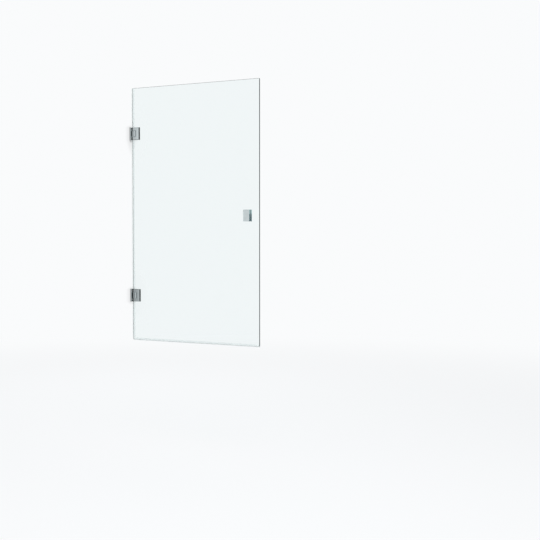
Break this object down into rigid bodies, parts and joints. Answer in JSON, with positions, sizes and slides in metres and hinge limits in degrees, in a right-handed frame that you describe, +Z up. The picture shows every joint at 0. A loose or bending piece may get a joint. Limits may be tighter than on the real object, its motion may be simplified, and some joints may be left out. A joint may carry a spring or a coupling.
{
  "type": "bath screen",
  "caption": "Frameless clear glass bath screen that swings both ways on small bevelled chrome wall hinges, with back-to-back chrome knobs and clear edge seals.",
  "frame": {"origin": "centre of the lower hinge's wall plate, on the wall's face", "axes": "+X away from the wall along the closed screen, +Y into the bath, +Z up"},
  "size_m": [0.855, 0.04, 1.4047],
  "materials": {
    "clear_glass": "clear toughened glass with polished edges",
    "chrome": "bright polished chrome plate on brass",
    "stainless": "turned stainless steel",
    "acetal": "natural white bearing plastic",
    "packing": "black fibre packing",
    "clear_vinyl": "clear flexible vinyl",
    "brass": "turned brass"
  },
  "bodies": {
    "wall_side": {"upper_wall_bracket": "chrome", "upper_wall_screws": "stainless", "upper_spring_retainer": "acetal", "upper_detent_spring": "stainless", "upper_top_bush": "acetal", "upper_bottom_bush": "acetal", "lower_wall_bracket": "chrome", "lower_wall_screws": "stainless", "lower_spring_retainer": "acetal", "lower_detent_spring": "stainless", "lower_top_bush": "acetal", "lower_bottom_bush": "acetal"},
    "screen": {"upper_pivot_pin": "stainless", "upper_outer_clamp": "chrome", "upper_outer_gasket": "packing", "upper_inner_clamp": "chrome", "upper_inner_gasket": "packing", "upper_clamp_screws": "stainless", "upper_pin_grub_screws": "stainless", "lower_pivot_pin": "stainless", "lower_outer_clamp": "chrome", "lower_outer_gasket": "packing", "lower_inner_clamp": "chrome", "lower_inner_gasket": "packing", "lower_clamp_screws": "stainless", "lower_pin_grub_screws": "stainless", "glass_pane": "clear_glass", "bottom_seal": "clear_vinyl", "upper_side_seal": "clear_vinyl", "middle_side_seal": "clear_vinyl", "lower_side_seal": "clear_vinyl", "outer_knob": "chrome", "inner_knob": "chrome", "outer_knob_packing": "clear_vinyl", "inner_knob_packing": "clear_vinyl", "knob_sleeve": "acetal", "knob_nut": "brass", "knob_stud": "stainless", "knob_grub_screw": "stainless"}
  },
  "joints": [
    {"name": "screen_swing", "type": "hinge", "parent": "wall_side", "child": "screen", "pos_m": [0.025, 0, 0], "axis": [0, 0, 1], "range_deg": [-90, 90], "deforming": ["upper_detent_spring", "lower_detent_spring"]}
  ]
}
